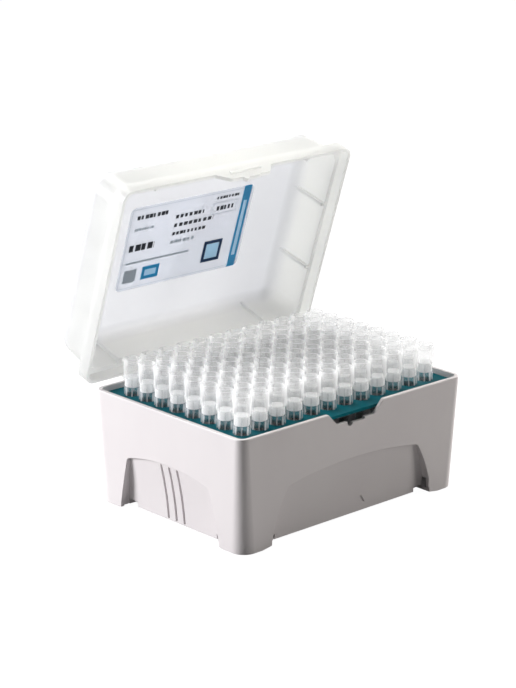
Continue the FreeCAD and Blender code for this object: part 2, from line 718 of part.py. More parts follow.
def build_all():
    """Every node's shape, by name."""
    nodes = {
        "base_box": build_base(),
        "tip_tray": build_tray(),
        "lid": build_lid(),
        "lid_label": build_label(),
    }
    tip = build_tip()
    plug = build_filter()
    for column in range(TIP_COLUMNS):
        nodes["tips_column_%02d" % (column + 1)] = placed_column(tip, column)
        nodes["filters_column_%02d" % (column + 1)] = placed_column(plug, column)
    return nodes


def centring_shift(nodes):
    """Move in Y that puts the origin under the middle of the part's bounding box."""
    low = nodes["base_box"].optimalBoundingBox(False).YMin
    high = nodes["lid"].optimalBoundingBox(False).YMax
    return -(low + high) / 2


os.makedirs("parts", exist_ok=True)
NODES = build_all()
SHIFT_Y = centring_shift(NODES)
for name, shape in NODES.items():
    shape.translate(Vector(0, SHIFT_Y, 0))
    solids = shape.Solids
    assert all(solid.isValid() for solid in solids), name
    shape.exportStep("parts/%s.step" % name)
    print(name, len(solids), "solids", round(sum(solid.Volume for solid in solids), 2), "mm3")
print("shift_y", round(SHIFT_Y, 5), "hinge_y", round(HINGE_Y + SHIFT_Y, 5), "hinge_z", round(HINGE_Z, 5))
print("rim_z", round(RIM_Z, 4), "deck_z", round(DECK_Z, 4), "lid_depth", round(LID_DEPTH, 4))
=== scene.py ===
"""Looks of a hinged box of filter tips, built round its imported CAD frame.

Lengths are in metres and the axes are the frame's: +X runs along the twelve columns of tips,
+Y from the latch to the hinge and +Z up. The lid stands open at rest.
"""

import json
import logging
import math
from dataclasses import dataclass, field, replace
from enum import Enum

import bpy
from mathutils import Matrix, Vector

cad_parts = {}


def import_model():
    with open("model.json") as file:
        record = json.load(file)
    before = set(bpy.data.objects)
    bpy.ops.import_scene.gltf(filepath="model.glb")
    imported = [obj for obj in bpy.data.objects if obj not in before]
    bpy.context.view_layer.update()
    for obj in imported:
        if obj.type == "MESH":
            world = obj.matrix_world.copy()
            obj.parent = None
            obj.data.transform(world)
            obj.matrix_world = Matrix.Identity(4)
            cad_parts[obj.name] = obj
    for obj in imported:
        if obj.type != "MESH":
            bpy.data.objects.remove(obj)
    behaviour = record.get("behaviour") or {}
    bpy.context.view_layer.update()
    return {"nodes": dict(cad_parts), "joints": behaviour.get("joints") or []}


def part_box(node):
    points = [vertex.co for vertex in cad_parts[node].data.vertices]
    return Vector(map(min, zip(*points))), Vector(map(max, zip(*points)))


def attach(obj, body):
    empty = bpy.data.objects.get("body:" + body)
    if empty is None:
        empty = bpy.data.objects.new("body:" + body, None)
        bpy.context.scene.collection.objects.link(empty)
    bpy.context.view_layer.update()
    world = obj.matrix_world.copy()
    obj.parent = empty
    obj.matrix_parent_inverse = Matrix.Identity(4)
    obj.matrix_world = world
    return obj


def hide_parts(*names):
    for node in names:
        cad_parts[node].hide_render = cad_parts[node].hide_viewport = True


LOG = logging.getLogger("tip_box")
MM = 0.001
BOX_BODY = "box"

# the sRGB curve: a straight foot, then a power
SCREEN_FOOT = 0.04045
SCREEN_FOOT_SLOPE = 12.92
SCREEN_OFFSET = 0.055
SCREEN_SPAN = 1.055
SCREEN_POWER = 2.4

# a noise's average, and the level below which it shows only the first of two colours
NOISE_MEAN = 0.5
NOISE_LOW = 0.35

# the Mix node's sockets for colours
MIX_SHARE, MIX_FIRST, MIX_SECOND, MIX_RESULT = 0, 6, 7, 2
EDGE_SAMPLES = 6

Triple = tuple[float, float, float]
Colour = Triple


def from_screen(red: int, green: int, blue: int) -> Colour:
    """Turns a colour as a screen shows it into light values.

    Args:
        red: red, 0 to 255.
        green: green, 0 to 255.
        blue: blue, 0 to 255.

    Returns:
        The linear colour, each value from 0 to 1.
    """
    values = []
    for level in (red, green, blue):
        share = level / 255
        if share <= SCREEN_FOOT:
            values.append(share / SCREEN_FOOT_SLOPE)
        else:
            values.append(((share + SCREEN_OFFSET) / SCREEN_SPAN) ** SCREEN_POWER)
    return tuple(values)


def towards(azimuth: float, elevation: float) -> Vector:
    """Turns two angles into a direction away from the box.

    Args:
        azimuth: degrees round from the box's front, growing towards +X.
        elevation: degrees above the floor.

    Returns:
        The direction, one unit long.
    """
    turn, lift = math.radians(azimuth), math.radians(elevation)
    flat = math.cos(lift)
    return Vector((math.sin(turn) * flat, -math.cos(turn) * flat, math.sin(lift)))


# ---- shader graph ----


class Sock:
    """An output socket on which Python's operators add Math nodes."""

    def __init__(self, graph: "Graph", socket: bpy.types.NodeSocket) -> None:
        """Keeps the socket and the graph that it belongs to."""
        self.graph = graph
        self.socket = socket

    def __add__(self, other: "Value") -> "Sock":
        """Adds a value or a socket."""
        return self.graph.maths("ADD", self, other)

    def __radd__(self, other: "Value") -> "Sock":
        """Adds this socket to a value."""
        return self.graph.maths("ADD", other, self)

    def __sub__(self, other: "Value") -> "Sock":
        """Takes a value or a socket away."""
        return self.graph.maths("SUBTRACT", self, other)

    def __rsub__(self, other: "Value") -> "Sock":
        """Takes this socket away from a value."""
        return self.graph.maths("SUBTRACT", other, self)

    def __mul__(self, other: "Value") -> "Sock":
        """Multiplies by a value or a socket."""
        return self.graph.maths("MULTIPLY", self, other)

    def __rmul__(self, other: "Value") -> "Sock":
        """Multiplies a value by this socket."""
        return self.graph.maths("MULTIPLY", other, self)

    def __truediv__(self, other: "Value") -> "Sock":
        """Divides by a value or a socket."""
        return self.graph.maths("DIVIDE", self, other)

    def __rtruediv__(self, other: "Value") -> "Sock":
        """Divides a value by this socket."""
        return self.graph.maths("DIVIDE", other, self)

    def __gt__(self, other: "Value") -> "Sock":
        """Is 1 where this socket is the greater, else 0."""
        return self.graph.maths("GREATER_THAN", self, other)

    def __lt__(self, other: "Value") -> "Sock":
        """Is 1 where this socket is the smaller, else 0."""
        return self.graph.maths("LESS_THAN", self, other)

    def __pow__(self, power: "Value") -> "Sock":
        """Raises to a power."""
        return self.graph.maths("POWER", self, power)

    def __rpow__(self, base: "Value") -> "Sock":
        """Raises a value to this socket's power."""
        return self.graph.maths("POWER", base, self)

    def floor(self) -> "Sock":
        """Rounds down to a whole number."""
        return self.graph.maths("FLOOR", self)

    def at_most(self, other: "Value") -> "Sock":
        """Takes the smaller of this socket and another."""
        return self.graph.maths("MINIMUM", self, other)

    def at_least(self, other: "Value") -> "Sock":
        """Takes the greater of this socket and another."""
        return self.graph.maths("MAXIMUM", self, other)

    def held(self) -> "Sock":
        """Holds the value between 0 and 1."""
        return self.at_least(0.0).at_most(1.0)

    def between(self, low: float, high: float) -> "Sock":
        """Is 1 where this socket lies between two limits, else 0."""
        return (self > low) * (self < high)


Value = float | Sock


class Graph:
    """The node tree of one new material, or of the world."""

    def __init__(self, owner: bpy.types.Material | bpy.types.World) -> None:
        """Empties the owner's node tree.

        Args:
            owner: the material or the world that the nodes belong to.
        """
        owner.use_nodes = True
        self.owner = owner
        self.tree = owner.node_tree
        self.tree.nodes.clear()

    def node(self, kind: str, settings: dict | None = None, inputs: dict | None = None,
             output: int | str = 0) -> Sock | None:
        """Adds a node.

        Args:
            kind: the node's type, without the words that every shader node starts with.
            settings: the node's own settings, which are set first.
            inputs: the value or the link of each socket, by name or number.
            output: the output that the returned socket stands for.

        Returns:
            The chosen output, or none where the node has no output.
        """
        node = self.tree.nodes.new("ShaderNode" + kind)
        for setting, value in (settings or {}).items():
            setattr(node, setting, value)
        for key, value in (inputs or {}).items():
            if isinstance(value, Sock):
                self.tree.links.new(value.socket, node.inputs[key])
            elif isinstance(value, tuple) and len(value) == 3 and node.inputs[key].type == "RGBA":
                node.inputs[key].default_value = (*value, 1.0)
            else:
                node.inputs[key].default_value = value
        outputs = node.outputs
        return Sock(self, outputs[output]) if len(outputs) else None

    def maths(self, operation: str, *values: Value) -> Sock:
        """Adds a Math node on one or two values."""
        return self.node("Math", {"operation": operation}, dict(enumerate(values)))

    def mixed(self, share: Value, first: "Colour | Sock", second: "Colour | Sock") -> Sock:
        """Mixes two colours, the second by the given share."""
        inputs = {MIX_SHARE: share, MIX_FIRST: first, MIX_SECOND: second}
        return self.node("Mix", {"data_type": "RGBA"}, inputs, MIX_RESULT)

    def shades(self, noise: Sock, contrast: float, first: Colour, second: Colour) -> Sock:
        """Mixes two colours, the second where a noise is high."""
        return self.mixed(((noise - NOISE_LOW) * contrast).held(), first, second)

    def varied(self, value: float, noise: Sock, swing: float) -> Sock:
        """Lets a value swing with a noise, by the given amount in all."""
        return value + (noise - NOISE_MEAN) * swing

    def place(self) -> Sock:
        """Gives the point on the piece, in the piece's own axes."""
        return self.node("TexCoord", output="Object")

    def height(self) -> Sock:
        """Gives the height of the point on the piece."""
        return self.node("SeparateXYZ", inputs={0: self.place()}, output="Z")

    def along(self, vector: Sock, direction: Vector) -> Sock:
        """Gives how far a vector reaches along a direction."""
        inputs = {0: vector, 1: tuple(direction)}
        return self.node("VectorMath", {"operation": "DOT_PRODUCT"}, inputs, "Value")

    def noise(self, size: float, detail: float = 2.0, stretch: Triple = (1.0, 1.0, 1.0)) -> Sock:
        """Adds soft noise.

        Args:
            size: the size of its patches.
            detail: how many finer layers lie on it.
            stretch: how many times longer the patches are along each axis.

        Returns:
            The noise, about 0.5 on average.
        """
        squeeze = tuple(1 / times for times in stretch)
        point = self.node("Mapping", inputs={"Vector": self.place(), "Scale": squeeze})
        return self.node("TexNoise", inputs={"Vector": point, "Scale": 1 / size, "Detail": detail})

    def bump(self, height: Sock, depth: float, normal: Sock | None = None) -> Sock:
        """Turns a height into a bumped normal.

        Args:
            height: the height, from 0 to 1.
            depth: how far a height of 1 stands out.
            normal: the normal that the bump lies on, or none for the mesh's own.

        Returns:
            The bumped normal.
        """
        inputs = {"Height": height, "Distance": depth, "Strength": 1.0}
        if normal is not None:
            inputs["Normal"] = normal
        return self.node("Bump", inputs=inputs)

    def rounded_edges(self, radius: float) -> Sock:
        """Gives a normal that rounds every edge by a small radius."""
        return self.node("Bevel", {"samples": EDGE_SAMPLES}, {"Radius": radius})

    def blended(self, share: Value, first: Sock, second: Sock) -> Sock:
        """Mixes two shaders, the second by the given share."""
        return self.node("MixShader", inputs={0: share, 1: first, 2: second})

    def finish(self, shader: Sock, output: str = "OutputMaterial") -> bpy.types.ID:
        """Links the shader to the output and returns the tree's owner."""
        self.node(output, inputs={"Surface": shader})
        return self.owner


# ---- finishes ----


@dataclass(frozen=True)
class SatinPlastic:
    """Opaque moulded plastic with a fine grain and faint flow shades."""

    name: str
    colour: Colour
    shade: Colour
    roughness: float = 0.5
    edge: float = 0.25 * MM
    grain: float = 0.35 * MM
    grain_depth: float = 0.012 * MM
    flow: float = 28 * MM
    flow_contrast: float = 2.2
    scuff: float = 2.5 * MM
    scuff_swing: float = 0.16
    shine: float = 0.5
    index: float = 1.5

    def material(self) -> bpy.types.Material:
        """Builds the material.

        Returns:
            The material.
        """
        graph = Graph(bpy.data.materials.new(self.name))
        flow = graph.noise(self.flow, detail=3.0, stretch=(1.0, 1.0, 2.2))
        grain = graph.noise(self.grain)
        scuff = graph.noise(self.scuff, detail=4.0, stretch=(6.0, 6.0, 1.0))
        colour = graph.shades(flow, self.flow_contrast, self.colour, self.shade)
        normal = graph.bump(grain, self.grain_depth, graph.rounded_edges(self.edge))
        shader = graph.node("BsdfPrincipled", inputs={
            "Base Color": colour,
            "Roughness": graph.varied(self.roughness, scuff, self.scuff_swing),
            "Normal": normal,
            "IOR": self.index,
            "Specular IOR Level": self.shine,
        })
        return graph.finish(shader)


@dataclass(frozen=True)
class MilkyPlastic:
    """Translucent natural polypropylene, with painted shade: a darker colour where it lies further
    out than a given reach.
    """

    name: str
    colour: Colour
    shade: Colour
    painted_shade: Colour
    outward: Vector
    painted_shade_from: float
    haze: float = 0.84
    glow: float = 0.5
    roughness: float = 0.32
    blend: float = 5 * MM
    flow: float = 22 * MM
    flow_contrast: float = 2.0
    haze_swing: float = 0.1
    ripple: float = 6 * MM
    ripple_depth: float = 0.05 * MM
    ripple_swing: float = 0.12
    edge: float = 0.3 * MM
    index: float = 1.49

    def material(self) -> bpy.types.Material:
        """Builds the material.

        Returns:
            The material.
        """
        graph = Graph(bpy.data.materials.new(self.name))
        flow = graph.noise(self.flow, detail=3.0, stretch=(1.6, 1.0, 1.0))
        ripple = graph.noise(self.ripple)
        thin = graph.shades(flow, self.flow_contrast, self.colour, self.shade)
        # painted shade: beyond the given reach the colour darkens towards a third, darker colour,
        # for the shade that the panel shows
        reach = graph.along(graph.place(), self.outward)
        painted_shade_share = ((reach - self.painted_shade_from) / self.blend).held()
        colour = graph.mixed(painted_shade_share, thin, self.painted_shade)
        normal = graph.bump(ripple, self.ripple_depth, graph.rounded_edges(self.edge))
        skin = graph.node("BsdfPrincipled", inputs={
            "Base Color": colour,
            "Roughness": graph.varied(self.roughness, ripple, self.ripple_swing),
            "Normal": normal,
            "IOR": self.index,
        })
        lit_through = graph.node("BsdfTranslucent", inputs={"Color": colour})
        milky = graph.blended(self.glow, skin, lit_through)
        clear = graph.node("BsdfTransparent")
        cloud = graph.varied(self.haze, flow, self.haze_swing)
        return graph.finish(graph.blended(cloud, clear, milky))


@dataclass(frozen=True)
class ClearPlastic:
    """Thin clear moulded plastic that whitens where it is seen edge on."""

    name: str
    colour: Colour
    face_on: float = 0.22
    edge_on: float = 0.92
    glow: float = 0.45
    roughness: float = 0.16
    fade_height: float | None = None
    faded: float = 0.25
    facing_blend: float = 0.35
    edge_power: float = 1.6
    ripple: float = 1.4 * MM
    ripple_depth: float = 0.03 * MM
    ripple_swing: float = 0.1
    index: float = 1.49

    def material(self) -> bpy.types.Material:
        """Builds the material.

        Returns:
            The material.
        """
        graph = Graph(bpy.data.materials.new(self.name))
        facing = graph.node("LayerWeight", inputs={"Blend": self.facing_blend}, output="Facing")
        ripple = graph.noise(self.ripple, stretch=(1.0, 1.0, 3.0))
        skin = graph.node("BsdfPrincipled", inputs={
            "Base Color": self.colour,
            "Roughness": graph.varied(self.roughness, ripple, self.ripple_swing),
            "Normal": graph.bump(ripple, self.ripple_depth),
            "IOR": self.index,
        })
        through = graph.node("BsdfTranslucent", inputs={"Color": self.colour})
        cloudy = graph.blended(self.glow, skin, through)
        clear = graph.node("BsdfTransparent")
        rise = self.edge_on - self.face_on
        solid = (self.face_on + rise * facing ** self.edge_power).held()
        if self.fade_height is not None:
            above = graph.height() > self.fade_height
            solid = solid * (1.0 - above * (1.0 - self.faded))
        return graph.finish(graph.blended(solid, clear, cloudy))


@dataclass(frozen=True)
class PorousPlug:
    """White sintered grains pressed into a plug, which light soaks through."""

    name: str
    colour: Colour
    shade: Colour
    grain: float = 0.16 * MM
    grain_depth: float = 0.05 * MM
    roughness: float = 0.95
    glow: float = 0.5

    def material(self) -> bpy.types.Material:
        """Builds the material.

        Returns:
            The material.
        """
        graph = Graph(bpy.data.materials.new(self.name))
        cells = graph.node("TexVoronoi", inputs={"Vector": graph.place(), "Scale": 1 / self.grain})
        colour = graph.mixed(cells.held(), self.colour, self.shade)
        grains = graph.node("BsdfPrincipled", inputs={
            "Base Color": colour,
            "Roughness": self.roughness,
            "Normal": graph.bump(cells, self.grain_depth),
        })
        through = graph.node("BsdfTranslucent", inputs={"Color": colour})
        return graph.finish(graph.blended(self.glow, grains, through))


@dataclass(frozen=True)
class InkColour:
    """A printing ink's colour and how much of what lies behind the film it hides."""

    colour: Colour
    cover: float


class Ink(Enum):
    """The label's printing inks, and the bare film."""

    FILM = InkColour(from_screen(224, 230, 240), 0.35)
    EDGE = InkColour(from_screen(150, 160, 172), 0.6)
    BLUE = InkColour(from_screen(52, 160, 204), 0.95)
    PALE = InkColour(from_screen(186, 224, 244), 0.8)
    NAVY = InkColour(from_screen(34, 66, 104), 0.98)
    BLACK = InkColour(from_screen(52, 56, 64), 0.95)
    GREY = InkColour(from_screen(160, 170, 178), 0.8)


@dataclass(frozen=True)
class Patch:
    """A rectangle of ink on the label, in millimetres from its lower left corner."""

    ink: Ink
    left: float
    low: float
    right: float
    high: float


@dataclass(frozen=True)
class Row:
    """A row of short bars of uneven length, in the place of a line of print."""

    ink: Ink
    left: float
    low: float
    right: float
    height: float
    pitch: float


@dataclass(frozen=True)
class LabelPrint:
    """Glossy film printed with plain fields of colour and rows of bars."""

    name: str
    patches: tuple[Patch, ...]
    rows: tuple[Row, ...]
    origin: Vector
    along: Vector
    upward: Vector
    glow: float = 0.5
    roughness: float = 0.32
    sheen: float = 5 * MM
    sheen_swing: float = 0.1
    wave: float = 9 * MM
    wave_depth: float = 0.05 * MM
    shortest_bar: float = 0.45
    uneven_bar: float = 0.45
    row_seed: float = 7.0

    def across(self, graph: Graph, direction: Vector) -> Sock:
        """Measures from the label's lower left corner.

        Args:
            graph: the material's graph.
            direction: the direction to measure in.

        Returns:
            The distance in millimetres.
        """
        inputs = {0: graph.place(), 1: tuple(self.origin)}
        from_corner = graph.node("VectorMath", {"operation": "SUBTRACT"}, inputs)
        return graph.along(from_corner, direction) / MM

    def bars(self, graph: Graph, row: Row, index: int, u: Sock, v: Sock) -> Sock:
        """Draws a row's bars.

        Args:
            graph: the material's graph.
            row: the row.
            index: the row's number, which sets the lengths of its bars.
            u: how far the point lies along the label, in millimetres.
            v: how far it lies up the label.

        Returns:
            1 on the bars and 0 beside them.
        """
        cell = ((u - row.left) / row.pitch).floor()
        chance = graph.node("TexWhiteNoise", {"noise_dimensions": "1D"},
                            {"W": cell + self.row_seed * index}, "Value")
        offset = (u - row.left) / row.pitch - cell
        bar = offset < self.shortest_bar + chance * self.uneven_bar
        return bar * u.between(row.left, row.right) * v.between(row.low, row.low + row.height)

    def material(self) -> bpy.types.Material:
        """Builds the material.

        Returns:
            The material.
        """
        graph = Graph(bpy.data.materials.new(self.name))
        u = self.across(graph, self.along)
        v = self.across(graph, self.upward)
        marks = []
        for patch in self.patches:
            mask = u.between(patch.left, patch.right) * v.between(patch.low, patch.high)
            marks.append((patch.ink.value, mask))
        for index, row in enumerate(self.rows):
            marks.append((row.ink.value, self.bars(graph, row, index, u, v)))
        colour = Ink.FILM.value.colour
        cover = Ink.FILM.value.cover
        for ink, mask in marks:
            colour = graph.mixed(mask, colour, ink.colour)
            cover = cover + mask * (ink.cover - cover)
        skin = graph.node("BsdfPrincipled", inputs={
            "Base Color": colour,
            "Roughness": graph.varied(self.roughness, graph.noise(self.sheen), self.sheen_swing),
            "Normal": graph.bump(graph.noise(self.wave), self.wave_depth),
        })
        through = graph.node("BsdfTranslucent", inputs={"Color": colour})
        ink_film = graph.blended(self.glow, skin, through)
        clear = graph.node("BsdfTransparent")
        return graph.finish(graph.blended(cover, clear, ink_film))


# ---- the box's own pieces ----


def only(piece: bpy.types.Object) -> None:
    """Makes a piece the only selected one, and the active one.

    Args:
        piece: the piece.
    """
    bpy.ops.object.select_all(action="DESELECT")
    piece.select_set(True)
    bpy.context.view_layer.objects.active = piece


def copied(pattern: bpy.types.Object, name: str, place: Vector) -> bpy.types.Object:
    """Copies a piece, with a mesh of its own that is moved to a place.

    Args:
        pattern: the piece to copy.
        name: the copy's name.
        place: how far its mesh moves.

    Returns:
        The copy.
    """
    copy = pattern.copy()
    copy.data = pattern.data.copy()
    copy.name = name
    copy.data.transform(Matrix.Translation(place))
    bpy.context.scene.collection.objects.link(copy)
    return copy


def joined(pieces: list[bpy.types.Object], name: str) -> bpy.types.Object:
    """Joins pieces into the first of them.

    Args:
        pieces: the pieces.
        name: the name of what they make.

    Returns:
        The joined piece.
    """
    only(pieces[0])
    for piece in pieces:
        piece.select_set(True)
    bpy.ops.object.join()
    pieces[0].name = name
    return pieces[0]


def ring_swept(name: str, sides: int, stations: list[tuple[float, float]]) -> bpy.types.Object:
    """Draws a disc up or down through a row of stations, as a closed skin.

    Args:
        name: the piece's name.
        sides: how many sides the ring has.
        stations: each station's radius and height.

    Returns:
        The piece, its faces outwards.
    """
    bpy.ops.object.select_all(action="DESELECT")
    radius, height = stations[0]
    bpy.ops.mesh.primitive_circle_add(vertices=sides, radius=radius, fill_type="NGON",
                                      location=(0.0, 0.0, 0.0))
    piece = bpy.context.active_object
    piece.name = name
    bpy.ops.object.mode_set(mode="EDIT")
    bpy.ops.mesh.select_all(action="SELECT")
    bpy.ops.transform.translate(value=(0.0, 0.0, height))
    for next_radius, next_height in stations[1:]:
        bpy.ops.mesh.extrude_region_move(
            TRANSFORM_OT_translate={"value": (0.0, 0.0, next_height - height)})
        share = next_radius / radius
        bpy.ops.transform.resize(value=(share, share, 1.0))
        radius, height = next_radius, next_height
    bpy.ops.mesh.select_all(action="SELECT")
    bpy.ops.mesh.normals_make_consistent(inside=False)
    bpy.ops.object.mode_set(mode="OBJECT")
    return piece


def dress(node: bpy.types.Object, material: bpy.types.Material) -> None:
    """Gives a CAD node its material.

    Args:
        node: the node's object.
        material: the material that covers it.
    """
    if not node.material_slots:
        node.data.materials.append(material)
    for slot in node.material_slots:
        slot.material = material
    LOG.info("%s wears %s", node.name, material.name)


@dataclass
class Tub:
    """The moulded base and the tray that stands in it."""

    shell: SatinPlastic = SatinPlastic(
        "warm_grey_satin", from_screen(224, 220, 221), from_screen(219, 214, 216))
    tray: SatinPlastic = SatinPlastic(
        "teal_satin", from_screen(0, 102, 114), from_screen(0, 82, 94),
        roughness=0.42, edge=0.15 * MM, shine=0.05)

    def build(self, nodes: dict[str, bpy.types.Object]) -> None:
        """Dresses the base and the tray."""
        dress(nodes["base_box"], self.shell.material())
        dress(nodes["tip_tray"], self.tray.material())


@dataclass
class TipField:
    """The ninety-six clear tips with a white plug in each, in columns."""

    columns: int = 12
    rows: int = 8
    pitch: float = 9.0 * MM
    head: float = 14.8 * MM
    mouth: float = 3.55 * MM
    socket: float = 2.76 * MM
    socket_depth: float = 2.4 * MM
    collar: float = 7.8 * MM
    collar_radius: float = 3.45 * MM
    neck: float = 3.15 * MM
    neck_below: float = 3.0 * MM
    shaft: float = 1.8 * MM
    shaft_bend: float = 22.0 * MM
    reach: float = 40.2 * MM
    point: float = 0.55 * MM
    lip: float = 0.2 * MM
    ribs: int = 8
    rib_thickness: float = 0.55 * MM
    rib_out: float = 0.25 * MM
    plug_radius: float = 3.0 * MM
    plug_low: float = 3.4 * MM
    plug_high: float = 7.4 * MM
    sides: int = 16
    smooth_below: float = 40.0
    collar_finish: ClearPlastic = ClearPlastic(
        "clear_collar", from_screen(248, 249, 250), face_on=0.23, edge_on=0.80)
    neck_finish: ClearPlastic = ClearPlastic(
        "clear_neck", from_screen(250, 251, 252), face_on=0.09, edge_on=0.36)
    rib_finish: ClearPlastic = ClearPlastic(
        "clear_rib", from_screen(250, 252, 255), face_on=0.30, edge_on=0.60)
    white: PorousPlug = PorousPlug(
        "white_plug", from_screen(255, 255, 255), from_screen(244, 245, 246))

    def skin(self) -> bpy.types.Object:
        """Draws one tip's skin from inside its mouth, over the lip and down to its point.

        Returns:
            The skin, cloudy round its collar and clear below.
        """
        step = self.head - self.collar
        stations = [
            (self.socket, self.head - self.socket_depth),
            (self.socket, self.head - self.lip),
            (self.socket + self.lip, self.head),
            (self.mouth - self.lip, self.head),
            (self.mouth, self.head - self.lip),
            (self.collar_radius, step),
            (self.neck, step - self.lip),
            (self.neck, -self.neck_below),
            (self.shaft + self.rib_out, -self.neck_below - self.lip),
            (self.shaft, -self.shaft_bend),
            (self.point, -self.reach),
        ]
        skin = ring_swept("tip_skin", self.sides, stations)
        for finish in (self.collar_finish, self.neck_finish):
            skin.data.materials.append(finish.material())
        for face in skin.data.polygons:
            # the face across the socket is as clear as the neck
            on_axis = face.center.xy.length < self.lip
            face.material_index = 0 if face.center.z > step - self.lip and not on_axis else 1
        return skin

    def rib(self, turn: float, finish: bpy.types.Material) -> bpy.types.Object:
        """Makes one of the ribs that stand on the deck round the neck.

        Args:
            turn: how far round the neck it stands.
            finish: its material.

        Returns:
            The rib.
        """
        high = self.head - self.collar - self.lip
        low_x = self.neck - self.rib_out / 2
        high_x = self.neck + self.rib_out
        bpy.ops.object.select_all(action="DESELECT")
        bpy.ops.mesh.primitive_cube_add(size=1.0, location=(0.0, 0.0, 0.0))
        rib = bpy.context.active_object
        rib.data.materials.append(finish)
        bpy.ops.object.mode_set(mode="EDIT")
        bpy.ops.mesh.select_all(action="SELECT")
        bpy.ops.transform.resize(value=(high_x - low_x, self.rib_thickness, high))
        bpy.ops.transform.translate(value=((low_x + high_x) / 2, 0.0, high / 2))
        bpy.ops.transform.rotate(value=turn, orient_axis="Z", center_override=(0.0, 0.0, 0.0))
        bpy.ops.object.mode_set(mode="OBJECT")
        return rib

    def plug(self) -> bpy.types.Object:
        """Makes one plug with slightly rounded rims.

        Returns:
            The plug.
        """
        stations = [
            (self.plug_radius - self.lip, self.plug_high),
            (self.plug_radius, self.plug_high - self.lip),
            (self.plug_radius, self.plug_low + self.lip),
            (self.plug_radius - self.lip, self.plug_low),
        ]
        plug = ring_swept("plug", self.sides, stations)
        plug.data.materials.append(self.white.material())
        return plug

    def row(self, pattern: bpy.types.Object, name: str) -> bpy.types.Object:
        """Repeats a piece along one column and drops the pattern.

        Args:
            pattern: the piece to repeat.
            name: the column's name.

        Returns:
            The column, as one mesh.
        """
        copies = []
        for index in range(self.rows):
            away = (index - (self.rows - 1) / 2) * self.pitch
            copies.append(copied(pattern, f"{name}_{index}", Vector((0.0, away, 0.0))))
        bpy.data.objects.remove(pattern)
        return joined(copies, name)

    def build(self) -> None:
        """Models one column of tips and plugs, and sets a copy of it in each column's place."""
        turns = [index * math.tau / self.ribs for index in range(self.ribs)]
        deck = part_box("tips_column_01")[1].z - self.head
        rib_finish = replace(self.rib_finish, fade_height=deck + self.plug_low).material()
        tip = joined([self.skin()] + [self.rib(turn, rib_finish) for turn in turns], "tip")
        patterns = (
            ("tips", "clear", "tip_plastic", self.row(tip, "tip_row")),
            ("filters", "white", "filter_plug", self.row(self.plug(), "plug_row")),
        )
        for kind, look, slot, pattern in patterns:
            only(pattern)
            bpy.ops.object.shade_smooth_by_angle(angle=math.radians(self.smooth_below))
            for column in range(1, self.columns + 1):
                node = f"{kind}_column_{column:02d}"
                low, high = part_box(f"tips_column_{column:02d}")
                place = (low + high) / 2
                place.z = high.z - self.head
                piece = copied(pattern, f"{look}_{node}", place)
                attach(piece, BOX_BODY)
                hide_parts(node)
                LOG.info("%s stands for %s", piece.name, node)
            bpy.data.objects.remove(pattern)


@dataclass
class Lid:
    """The translucent lid with the label on its panel."""

    open_angle: float
    panel_blend: float = 6.0 * MM
    label_width: float = 66.0
    label_height: float = 38.5

    def label_print(self) -> LabelPrint:
        """Lays out the print from the label's place in the frame.

        Returns:
            The label's finish.
        """
        low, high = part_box("lid_label")
        upward = Vector((0.0, -math.cos(self.open_angle), math.sin(self.open_angle)))
        along = Vector((1.0, 0.0, 0.0))
        middle = (low + high) / 2
        corner = middle - along * self.label_width * MM / 2 - upward * self.label_height * MM / 2
        patches = (
            Patch(Ink.EDGE, 0.9, 0.9, 65.1, 37.6),
            Patch(Ink.FILM, 1.15, 1.15, 64.85, 37.35),
            Patch(Ink.BLUE, 60.4, 0.0, 64.6, 38.5),
            Patch(Ink.PALE, 61.6, 5.5, 63.4, 31.5),
            Patch(Ink.GREY, 2.5, 12.2, 36.0, 13.0),
            Patch(Ink.GREY, 3.0, 3.4, 9.5, 9.4),
            Patch(Ink.BLUE, 12.5, 3.6, 21.5, 9.6),
            Patch(Ink.PALE, 14.0, 5.2, 20.0, 8.0),
            Patch(Ink.NAVY, 44.5, 5.0, 54.5, 15.0),
            Patch(Ink.PALE, 46.0, 6.5, 53.0, 13.5),
            Patch(Ink.GREY, 44.5, 27.6, 58.0, 33.0),
            Patch(Ink.FILM, 44.8, 27.9, 57.7, 32.7),
        )
        rows = (
            Row(Ink.BLACK, 4.0, 32.6, 20.0, 1.8, 2.1),
            Row(Ink.GREY, 4.0, 27.4, 14.0, 1.2, 1.4),
            Row(Ink.BLACK, 3.0, 18.0, 16.0, 3.0, 3.2),
            Row(Ink.BLACK, 25.0, 29.6, 40.0, 1.6, 2.4),
            Row(Ink.BLACK, 25.0, 25.6, 46.0, 1.6, 2.6),
            Row(Ink.BLACK, 25.0, 21.8, 43.0, 1.4, 2.0),
            Row(Ink.GREY, 25.0, 17.9, 38.0, 1.4, 2.2),
            Row(Ink.BLACK, 47.0, 29.2, 56.0, 2.0, 2.0),
            Row(Ink.BLACK, 46.0, 34.6, 58.0, 1.2, 1.6),
        )
        return LabelPrint("printed_film", patches, rows, corner, along, upward)

    def shell(self) -> MilkyPlastic:
        """Works out the shell's plastic, with painted shade: a darker colour in the panel.

        Returns:
            The shell's finish.
        """
        outward = Vector((0.0, math.sin(self.open_angle), math.cos(self.open_angle)))
        low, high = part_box("lid_label")
        panel = outward.dot((low + high) / 2) - self.panel_blend
        # the third colour is painted shade, laid on the panel to darken it
        return MilkyPlastic("milky_lid", from_screen(236, 237, 236), from_screen(229, 230, 230),
                            from_screen(224, 225, 228), outward, panel, blend=self.panel_blend)

    def build(self, nodes: dict[str, bpy.types.Object]) -> None:
        """Dresses the lid and its label."""
        dress(nodes["lid"], self.shell().material())
        dress(nodes["lid_label"], self.label_print().material())


# ---- studio ----


